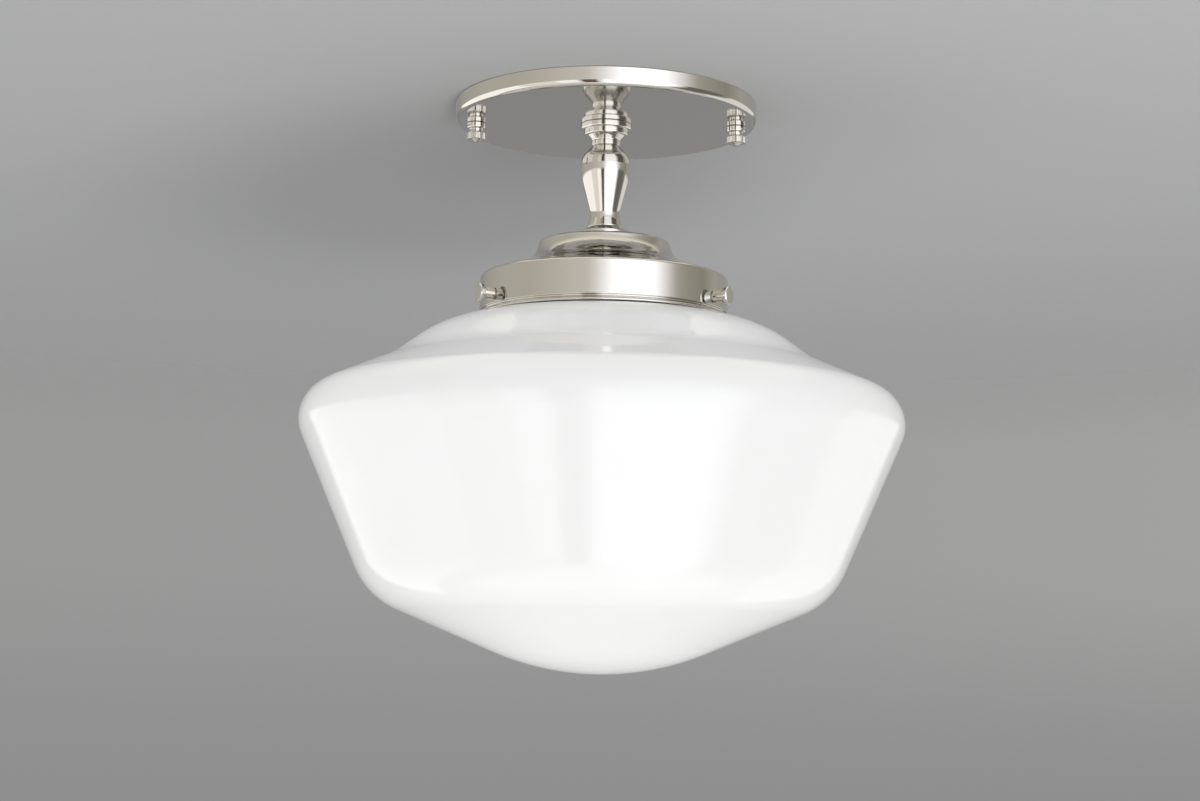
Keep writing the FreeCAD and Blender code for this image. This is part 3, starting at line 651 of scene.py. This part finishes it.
tree, given = start_tree("knurled disc",
                         {"Nut": "Geometry", "Count": "Int", "Root Radius": "Float",
                          "Steepness": "Float", "Low": "Float", "High": "Float",
                          "Finish": "Material"}, "Knurled")
axes, angle, around = about_the_axis(tree)
half_pitch = add(tree, "ShaderNodeMath", {0: math.pi, 1: given["Count"]}, operation="DIVIDE")
off_groove = add(tree, "ShaderNodeMath", {0: angle, 1: half_pitch}, operation="PINGPONG")
level = add(tree, "ShaderNodeMath", {0: off_groove}, operation="COSINE")
sine = add(tree, "ShaderNodeMath", {0: off_groove}, operation="SINE")
slope = add(tree, "ShaderNodeMath", {0: sine, 1: given["Steepness"]}, operation="MULTIPLY")
flank = add(tree, "ShaderNodeMath", {0: level, 1: slope}, operation="SUBTRACT")
flank_r = add(tree, "ShaderNodeMath", {0: given["Root Radius"], 1: flank}, operation="DIVIDE")
kept = add(tree, "ShaderNodeMath", {0: around, 1: flank_r}, operation="MINIMUM")
share = add(tree, "ShaderNodeMath", {0: kept, 1: around}, operation="DIVIDE")
above = add(tree, "ShaderNodeMath", {0: axes["Z"], 1: given["Low"]}, operation="GREATER_THAN")
below = add(tree, "ShaderNodeMath", {0: axes["Z"], 1: given["High"]}, operation="LESS_THAN")
wide = add(tree, "ShaderNodeMath", {0: around, 1: given["Root Radius"]},
           operation="GREATER_THAN")
between = add(tree, "ShaderNodeMath", {0: above, 1: below}, operation="MULTIPLY")
on_disc = add(tree, "ShaderNodeMath", {0: between, 1: wide}, operation="MULTIPLY")
grooved = add(tree, "GeometryNodeSetPosition",
              {"Geometry": given["Nut"], "Selection": on_disc,
               "Position": drawn_in(tree, axes, share)})
flute_tree = end_tree(tree, "Knurled", grooved, given["Finish"])

nut_bore_r = 2.1
nut_bore_depth = 6.0
nut_seat_edge = 0.2
nut_ring_r = 3.95
nut_ring = 2.3
nut_ring_round = 0.7
nut_neck_r = 2.85
nut_neck = 1.6
nut_neck_round = 0.5
knurl_r = 4.0
knurl_height = 3.1
knurl_top_round = 1.4
knurl_low_edge = 0.15
knurl_count = 36
knurl_depth = 0.2
knurl_steepness = 1.36
knurl_margin = 0.01
rows_per_groove = 8
nut_tip_r = 2.9
nut_tip_round = 0.4
for side, stud_way in (("left", -1), ("right", 1)):
    node = "canopy_nut_" + side
    low, high = span(node)
    ring_low = high.z - nut_ring
    knurl_top = ring_low - nut_neck
    knurl_low = knurl_top - knurl_height
    bore_end = high.z - nut_bore_depth
    nut = turn(node + "_knurled",
               [(0, bore_end, 0), (nut_bore_r, bore_end, 0), (nut_bore_r, high.z, 0),
                (nut_ring_r, high.z, nut_seat_edge), (nut_ring_r, ring_low, nut_ring_round),
                (nut_neck_r, ring_low, nut_neck_round), (nut_neck_r, knurl_top, nut_neck_round),
                (knurl_r, knurl_top, knurl_top_round), (knurl_r, knurl_low, knurl_low_edge),
                (nut_tip_r, knurl_low, nut_seat_edge), (nut_tip_r / 3, low.z, nut_tip_round),
                (0, low.z, 0)],
               turned_nickel, segments=knurl_count * rows_per_groove,
               rules=[(flute_tree, {"Count": knurl_count, "Steepness": knurl_steepness,
                                    "Root Radius": (knurl_r - knurl_depth) * mm,
                                    "Low": (knurl_low - knurl_margin) * mm,
                                    "High": (knurl_top + knurl_margin) * mm})])
    nut.data.transform(Matrix.Translation((stud_way * stud_x * mm, 0, 0)))
    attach(nut, node)
    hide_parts(node)


# Lamp: one screw-base lamp. Its cap is rolled aluminium, with a dark glass insulator, a
# soldered tip, and an envelope blown in clear glass and etched inside to a soft white.

aluminium, tree, shader, at = finish("rolled aluminium", {"Metallic": 1.0})
scuff_size = 1.5
scuffs = add(tree, "ShaderNodeTexNoise", {"Vector": at, "Scale": 1 / scuff_size, "Detail": 5.0})
dull = add(tree, "ShaderNodeMapRange", {"Value": scuffs.outputs["Fac"], "To Min": 0.22,
                                        "To Max": 0.45})
tint = add(tree, "ShaderNodeMix", {0: scuffs.outputs["Fac"], 6: linear("#D9DADB"),
                                   7: linear("#C2C3C5")}, data_type="RGBA")
tree.links.new(tint.outputs[2], shader.inputs["Base Color"])
tree.links.new(dull.outputs["Result"], shader.inputs["Roughness"])

dark_glass, tree, shader, at = finish("dark insulator glass", {"Roughness": 0.12, "IOR": 1.52})
streak_size = 2.0
streaks = add(tree, "ShaderNodeTexNoise", {"Vector": at, "Scale": 1 / streak_size})
tint = add(tree, "ShaderNodeMix", {0: streaks.outputs["Fac"], 6: linear("#1B191D"),
                                   7: linear("#2C2830")}, data_type="RGBA")
tree.links.new(tint.outputs[2], shader.inputs["Base Color"])
dress(dark_glass, "lamp_insulator")

solder, tree, shader, at = finish("cold tin solder", {"Metallic": 1.0})
grain_size = 0.7
grains = add(tree, "ShaderNodeTexVoronoi", {"Vector": at, "Scale": 1 / grain_size})
tint = add(tree, "ShaderNodeMix", {0: grains.outputs["Distance"], 6: linear("#BDBBB4"),
                                   7: linear("#A3A19B")}, data_type="RGBA")
frosty = add(tree, "ShaderNodeMapRange", {"Value": grains.outputs["Distance"], "To Min": 0.3,
                                          "To Max": 0.5})
tree.links.new(tint.outputs[2], shader.inputs["Base Color"])
tree.links.new(frosty.outputs["Result"], shader.inputs["Roughness"])
dress(solder, "lamp_contact")

cap_low, cap_high = span("lamp_cap")
lamp_cap_r = cap_high.x
lamp_core_r = lamp_cap_r - 1.4
cap_wall = 0.5
cap_hole_r = 9.0
cap_flange = 1.0
cap_flange_round = 0.5
cap_shoulder = cap_high.z - 1.5
cap_shoulder_round = 0.8
cap_rows_top = cap_shoulder - 1.2
lamp_thread_depth = 0.75
lamp_thread_low = cap_low.z + 3
lamp_thread_top = cap_shoulder - 1
path = [(cap_hole_r, cap_high.z, 0), (cap_hole_r + cap_flange, cap_high.z, cap_flange_round),
        (lamp_cap_r, cap_shoulder, cap_shoulder_round)] \
    + thread_rows(lamp_cap_r, cap_rows_top, cap_low.z, lamp_pitch)
cap = turn("lamp_cap_rolled", path + inner_side(path, cap_wall)[::-1], aluminium, segments=96,
           rules=[cut_thread(lamp_pitch, lamp_thread_depth, lamp_thread_low, lamp_thread_top,
                             lamp_core_r, rolled_roundness)])
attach(cap, "lamp")
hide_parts("lamp_cap")

frosted, tree, shader, at = finish("etched lamp glass",
                                   {"Roughness": 0.35, "IOR": 1.5, "Transmission Weight": 0.35})
etch_size = 0.8
etch = add(tree, "ShaderNodeTexNoise", {"Vector": at, "Scale": 1 / etch_size, "Detail": 3.0})
tint = add(tree, "ShaderNodeMix", {0: etch.outputs["Fac"], 6: linear("#F3F1EA"),
                                   7: linear("#E7E5DE")}, data_type="RGBA")
tree.links.new(tint.outputs[2], shader.inputs["Base Color"])

glass_low, glass_high = span("lamp_glass")
ball_r = glass_high.x
lamp_neck_r = 12.35
lamp_flare = 40.0
lamp_slope = math.radians(31.8)
lamp_wall = 0.8
flank = glass_low.z + ball_r * (1 + math.tan(lamp_slope / 2))
opening = flank + (ball_r - lamp_neck_r) / math.tan(lamp_slope)
path = [(lamp_neck_r, glass_high.z, 0), (lamp_neck_r, opening, lamp_flare),
        (ball_r, flank, ball_r), (ball_r, glass_low.z, ball_r), (0, glass_low.z, 0)]
bulb = turn("lamp_glass_blown", inner_side(path, lamp_wall)[::-1] + path, frosted, segments=160)
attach(bulb, "lamp")
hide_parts("lamp_glass")


# Globe: the schoolhouse globe, with a lipped neck, a creased shoulder, a tapered body and a
# coned bottom. Opal glass blown in a turned mould, milk white right through under a fire
# polished skin, so it is glossy, with the mould's slow ripples in its reflections.

opal, tree, shader, at = finish("blown opal glass",
                                {"Roughness": 0.05, "IOR": 1.5, "Subsurface Weight": 0.3,
                                 "Subsurface Radius": (1.0, 1.0, 1.0),
                                 "Subsurface Scale": 4 * mm})
milk_size = 60.0
slow_ripple = 28.0
milk = add(tree, "ShaderNodeTexNoise", {"Vector": at, "Scale": 1 / milk_size, "Detail": 2.0})
tint = add(tree, "ShaderNodeMix", {0: milk.outputs["Fac"], 6: linear("#F8F8F7"),
                                   7: linear("#F3F3F1")}, data_type="RGBA")
ripples = add(tree, "ShaderNodeTexNoise", {"Vector": at, "Scale": 1 / slow_ripple})
skin = add(tree, "ShaderNodeBump", {"Height": ripples.outputs["Fac"], "Strength": 0.25,
                                    "Distance": 0.25 * mm})
tree.links.new(tint.outputs[2], shader.inputs["Base Color"])
tree.links.new(skin.outputs["Normal"], shader.inputs["Normal"])

globe_low, globe_high = span("globe")
glass_wall = 3.0
mouth_r = 49.2
mouth_edge = 0.8
neck_in = 2.5
lip_height = 4.0
lip_edge = 1.3
lip_foot_round = 0.5
foot_gap = 0.15
foot_round = 1.5
globe_shoulder_r = 66.8
globe_shoulder_drop = 1.0
globe_shoulder_round = 50.0
crease_r = 89.3
crease_drop = 18.3
crease_round = 45.0
hip_r = 129.9
hip_drop = 35.7
hip_round = 15.8
heel_r = 95.4
heel_drop = 116.0
heel_round = 33.0
pole_round = 115.0
cone_slope = math.radians(22.5)
pole_reach = pole_round * math.tan(cone_slope / 2)
foot = holder_foot - foot_gap
lip_under = globe_high.z - lip_height
glass_neck_r = mouth_r - neck_in
path = [(glass_neck_r, lip_under, 0), (glass_neck_r, foot, foot_round),
        (globe_shoulder_r, foot - globe_shoulder_drop, globe_shoulder_round),
        (crease_r, foot - crease_drop, crease_round), (hip_r, foot - hip_drop, hip_round),
        (heel_r, foot - heel_drop, heel_round), (pole_reach, globe_low.z, pole_round),
        (0, globe_low.z, 0)]
mouth = [(glass_neck_r - glass_wall, globe_high.z, mouth_edge),
         (mouth_r, globe_high.z, lip_edge), (mouth_r, lip_under, lip_edge),
         (glass_neck_r, lip_under, lip_foot_round)]
globe = turn("globe_blown", inner_side(path, glass_wall)[:0:-1] + mouth + path[1:], opal,
             segments=288)
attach(globe, "fixture")
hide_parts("globe")


# Thumb screws: three, through the band and in under the glass's lip. Turned from brass bar
# with a plain round head, a barrel and an M4 thread, polished and nickel plated.

screw_r = 2.05
screw_core_r = screw_r * 0.9
tip_bevel = 0.5
barrel_r = 2.5
barrel_length = 4.6
barrel_edge = 0.2
barrel_round = 0.4
groove_r = 1.9
groove_length = 0.5
head_r = 3.75
head_height = 1.8
head_edge = 0.3
head_bevel = 0.45
stand_off = 0.3
tip = glass_neck_r + stand_off
barrel = band_r + stand_off
groove = barrel + barrel_length
head = groove + groove_length
face = head + head_height
for side, angle in screw_angles.items():
    node = "thumb_screw_" + side
    screw = turn(node + "_turned",
                 [(0, tip, 0), (screw_r - tip_bevel, tip, 0)]
                 + thread_rows(screw_r, tip + tip_bevel, barrel, stud_pitch)
                 + [(barrel_r, barrel, barrel_edge), (barrel_r, groove, barrel_round),
                    (groove_r, groove, 0), (groove_r, head, 0), (head_r, head, head_edge),
                    (head_r, face - head_bevel, 0), (head_r - head_bevel, face, 0),
                    (0, face, 0)],
                 turned_nickel, segments=96,
                 rules=[cut_thread(stud_pitch, stud_thread_depth, tip, barrel, screw_core_r,
                                   vee_roundness)])
    laid = Matrix.Translation((0, 0, screw_z * mm)) @ Matrix.Rotation(math.radians(90), 4, "Y")
    screw.data.transform(Matrix.Rotation(math.radians(angle), 4, "Z") @ laid)
    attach(screw, node)
    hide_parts(node)


# Room: a plain ceiling over the light, seen from below only, and a plain pale floor under
# it. Both are matt paint that fades into the studio's background, and no mirror shows them,
# because the studio's own picture stands for them there.

def room_disc(name, height, radius):
    """A round stage surface that faces the light."""
    shape = bmesh.new()
    bmesh.ops.create_circle(shape, cap_ends=True, segments=96, radius=radius)
    if height > 0:
        bmesh.ops.reverse_faces(shape, faces=shape.faces)
    mesh = bpy.data.meshes.new(name)
    shape.to_mesh(mesh)
    shape.free()
    mesh.transform(Matrix.Translation((0, 0, height)))
    disc = bpy.data.objects.new(name, mesh)
    bpy.context.scene.collection.objects.link(disc)
    return disc


def matt_paint(name, colour, fade_from, fade_to):
    """Matt paint that turns clear towards the disc's edge, and clear from behind."""
    material = bpy.data.materials.new(name)
    material.use_nodes = True
    tree = material.node_tree
    tree.nodes.clear()
    place = add(tree, "ShaderNodeTexCoord")
    flat = add(tree, "ShaderNodeVectorMath", {0: place.outputs["Object"], 1: (1, 1, 0)},
               operation="MULTIPLY")
    out = add(tree, "ShaderNodeVectorMath", {0: flat.outputs["Vector"]}, operation="LENGTH")
    fade = add(tree, "ShaderNodeMapRange",
               {"Value": out.outputs["Value"], "From Min": fade_from, "From Max": fade_to},
               interpolation_type="SMOOTHSTEP")
    behind = add(tree, "ShaderNodeNewGeometry").outputs["Backfacing"]
    hidden = add(tree, "ShaderNodeMath", {0: fade, 1: behind}, operation="MAXIMUM")
    paint = add(tree, "ShaderNodeBsdfDiffuse", {"Color": linear(colour)})
    clear = add(tree, "ShaderNodeBsdfTransparent")
    mixed = add(tree, "ShaderNodeMixShader", {0: hidden, 1: paint.outputs["BSDF"],
                                              2: clear.outputs["BSDF"]})
    add(tree, "ShaderNodeOutputMaterial", {"Surface": mixed.outputs["Shader"]})
    return material


ceiling = room_disc("ceiling", height=0.3 * mm, radius=1.6)
ceiling.data.materials.append(matt_paint("ceiling paint", "#969696", fade_from=0.3, fade_to=1.5))
ceiling.visible_diffuse = False
ceiling.visible_glossy = False
ceiling.visible_shadow = False
floor = room_disc("floor", height=-2.4, radius=5.0)
floor.data.materials.append(matt_paint("floor paint", "#E8E8E6", fade_from=1.5, fade_to=4.5))
floor.visible_glossy = False


# Studio: grey walls behind and warm walls in front, which the camera sees plain. The metal
# and the glass mirror them with a bright ceiling and floor, two large soft boxes and the dark
# gap between these. Bearings and rises are in degrees, from the camera's side.

studio = bpy.data.worlds.new("studio")
bpy.context.scene.world = studio
studio.use_nodes = True
tree = studio.node_tree
tree.nodes.clear()
plain_level = 0.7
plain_up_to = -10.0
overhead_level = 1.0
overhead_from = 60.0
wall_greys = {-180: "#9B9B9B", -158: "#999998", -133: "#BFBBB2", -104: "#CFCBC1", -75: "#CFCABF",
              -46: "#DBD5CB", -23: "#E8E2DA", 0: "#EAE6E0", 40: "#E6E2DC", 62: "#CDC8BE",
              82: "#B2AEA3", 103: "#A29F94", 122: "#BCB8AE", 150: "#A8A8A6", 180: "#9B9B9B"}
way = add(tree, "ShaderNodeTexCoord").outputs["Generated"]
axes = add(tree, "ShaderNodeSeparateXYZ", {"Vector": way}).outputs
degrees = 180 / math.pi
nearer = add(tree, "ShaderNodeMath", {0: axes["Y"], 1: -1.0}, operation="MULTIPLY")
turned_off = add(tree, "ShaderNodeMath", {0: axes["X"], 1: nearer}, operation="ARCTAN2")
bearing = add(tree, "ShaderNodeMath", {0: degrees, 1: turned_off}, operation="MULTIPLY")
raised = add(tree, "ShaderNodeMath", {0: axes["Z"]}, operation="ARCSINE")
rise = add(tree, "ShaderNodeMath", {0: degrees, 1: raised}, operation="MULTIPLY")
share = add(tree, "ShaderNodeMath", {0: bearing, 1: 1 / 360, 2: 0.5}, operation="MULTIPLY_ADD")
walls = add(tree, "ShaderNodeValToRGB", {"Fac": share})
stops = walls.color_ramp.elements
for bearing_angle, grey in wall_greys.items():
    if bearing_angle == -180:
        stop = stops[0]
    elif bearing_angle == 180:
        stop = stops[len(stops) - 1]
    else:
        stop = stops.new(bearing_angle / 360 + 0.5)
    stop.color = linear(grey)


def within(angle, low, high, soft):
    """1 between two angles and 0 outside them, with a soft change at each."""
    off = add(tree, "ShaderNodeMath", {0: angle, 1: (low + high) / 2}, operation="SUBTRACT")
    away = add(tree, "ShaderNodeMath", {0: off}, operation="ABSOLUTE")
    half = (high - low) / 2
    return add(tree, "ShaderNodeMapRange",
               {"Value": away, "From Min": half + soft / 2, "From Max": half - soft / 2},
               interpolation_type="SMOOTHSTEP")


# Each patch: bearings, rises, softness across and up, colour and level.
patches = {"bright ceiling": ((-180, 180), (45, 135), (0.1, 14), "#F3EBDD", 1.2),
           "bright floor": ((-115, 115), (-150, -55), (50, 12), "#FFFDF8", 1.2),
           "glow over the right box": ((2, 54), (-60, 27), (42, 36), "#F9FAFF", 2.2),
           "left box": ((-140, -21), (-45, 4), (6, 4), "#FFFDFA", 1.5),
           "left box's bar": ((-68, -38), (-50, 5), (4, 4), "#FBF3EA", 1.2),
           "gap": ((-19, -7), (-50, 5), (3, 5), "#75635A", 1.0),
           "right box": ((-2, 51), (-50, 5), (4, 6), "#FCFDFF", 2.3),
           "dark side": ((60, 96), (-50, 6), (10, 8), "#7C7C73", 1.0),
           "light side": ((104, 148), (-50, 3), (8, 6), "#F4F2EE", 1.15)}
behind = add(tree, "ShaderNodeMath", {0: bearing}, operation="ABSOLUTE")
low_wall = add(tree, "ShaderNodeMath", {0: within(behind, 140, 220, soft=30),
                                        1: within(rise, -9, 0, soft=7)}, operation="MULTIPLY")
picture = add(tree, "ShaderNodeMix", {0: low_wall, 6: walls.outputs["Color"],
                                      7: linear("#8F8F8F")}, data_type="RGBA").outputs[2]
plain_walls = picture
for bearings, rises, soft, colour, level in patches.values():
    mask = add(tree, "ShaderNodeMath", {0: within(bearing, *bearings, soft[0]),
                                        1: within(rise, *rises, soft[1])}, operation="MULTIPLY")
    bright = [part * level for part in linear(colour)]
    picture = add(tree, "ShaderNodeMix", {0: mask, 6: picture, 7: bright},
                  data_type="RGBA").outputs[2]
paths = add(tree, "ShaderNodeLightPath").outputs
mirrored = add(tree, "ShaderNodeMath", {0: paths["Is Glossy Ray"],
                                        1: paths["Is Transmission Ray"]}, operation="MAXIMUM")
backdrop = add(tree, "ShaderNodeBackground", {"Color": plain_walls})
mirror_view = add(tree, "ShaderNodeBackground", {"Color": picture})
brighter_up = add(tree, "ShaderNodeMapRange",
                  {"Value": rise, "From Min": plain_up_to, "From Max": overhead_from,
                   "To Min": plain_level, "To Max": overhead_level})
light = add(tree, "ShaderNodeBackground", {"Color": linear("#FDFEFF"), "Strength": brighter_up})
mixed = add(tree, "ShaderNodeMixShader", {0: mirrored, 1: light.outputs["Background"],
                                          2: mirror_view.outputs["Background"]})
whole = add(tree, "ShaderNodeMixShader", {0: paths["Is Camera Ray"], 1: mixed.outputs["Shader"],
                                          2: backdrop.outputs["Background"]})
add(tree, "ShaderNodeOutputWorld", {"Surface": whole.outputs["Shader"]})


# Lamps and camera: the light of the two soft boxes, a glow up from the floor, and a wash that
# lights the ceiling alone and throws the piece's soft shadow on it. The camera stands low and
# tilted up. No mirror shows the lamps, because the studio's picture stands for them.

middle = Vector((0, 0, -0.12))
lamp_distance = 1.5
only_ceiling = bpy.data.collections.new("only ceiling")
only_ceiling.objects.link(ceiling)
# Each lamp: bearing and rise in degrees, width and height in metres, and radiance.
lamps = {"soft_box_right": (38, -31, 1.3, 1.2, 1.12),
         "soft_box_left": (-76, -24, 2.3, 0.9, 0.57),
         "floor_glow": (0, -86, 2.0, 2.0, 0.46),
         "ceiling_wash": (24, -32, 0.75, 0.75, 8.6)}
for name, (lamp_bearing, lamp_rise, width, height, radiance) in lamps.items():
    lamp = bpy.data.lights.new(name, "AREA")
    lamp.shape = "RECTANGLE"
    lamp.size = width
    lamp.size_y = height
    lamp.energy = radiance * math.pi * width * height
    hung = bpy.data.objects.new(lamp.name, lamp)
    bpy.context.scene.collection.objects.link(hung)
    turned_by = math.radians(lamp_bearing)
    raised_by = math.radians(lamp_rise)
    way = Vector((math.sin(turned_by) * math.cos(raised_by),
                  -math.cos(turned_by) * math.cos(raised_by), math.sin(raised_by)))
    facing = way.to_track_quat("Z", "Y").to_matrix().to_4x4()
    hung.matrix_world = Matrix.Translation(middle + way * lamp_distance) @ facing
    hung.visible_camera = False
    hung.visible_glossy = False
    if name == "ceiling_wash":
        hung.light_linking.receiver_collection = only_ceiling

lens = bpy.data.cameras.new("camera")
lens.sensor_width = 36.0
lens.lens = 64.23
camera = bpy.data.objects.new("camera", lens)
bpy.context.scene.collection.objects.link(camera)
standpoint = Vector((-0.0009, -0.884, -0.2354))
tilt = math.radians(97.13)
roll = math.radians(0.85)
camera.matrix_world = (Matrix.Translation(standpoint) @ Matrix.Rotation(tilt, 4, "X")
                       @ Matrix.Rotation(roll, 4, "Z"))
bpy.context.scene.camera = camera
bpy.context.scene.view_settings.view_transform = "Standard"
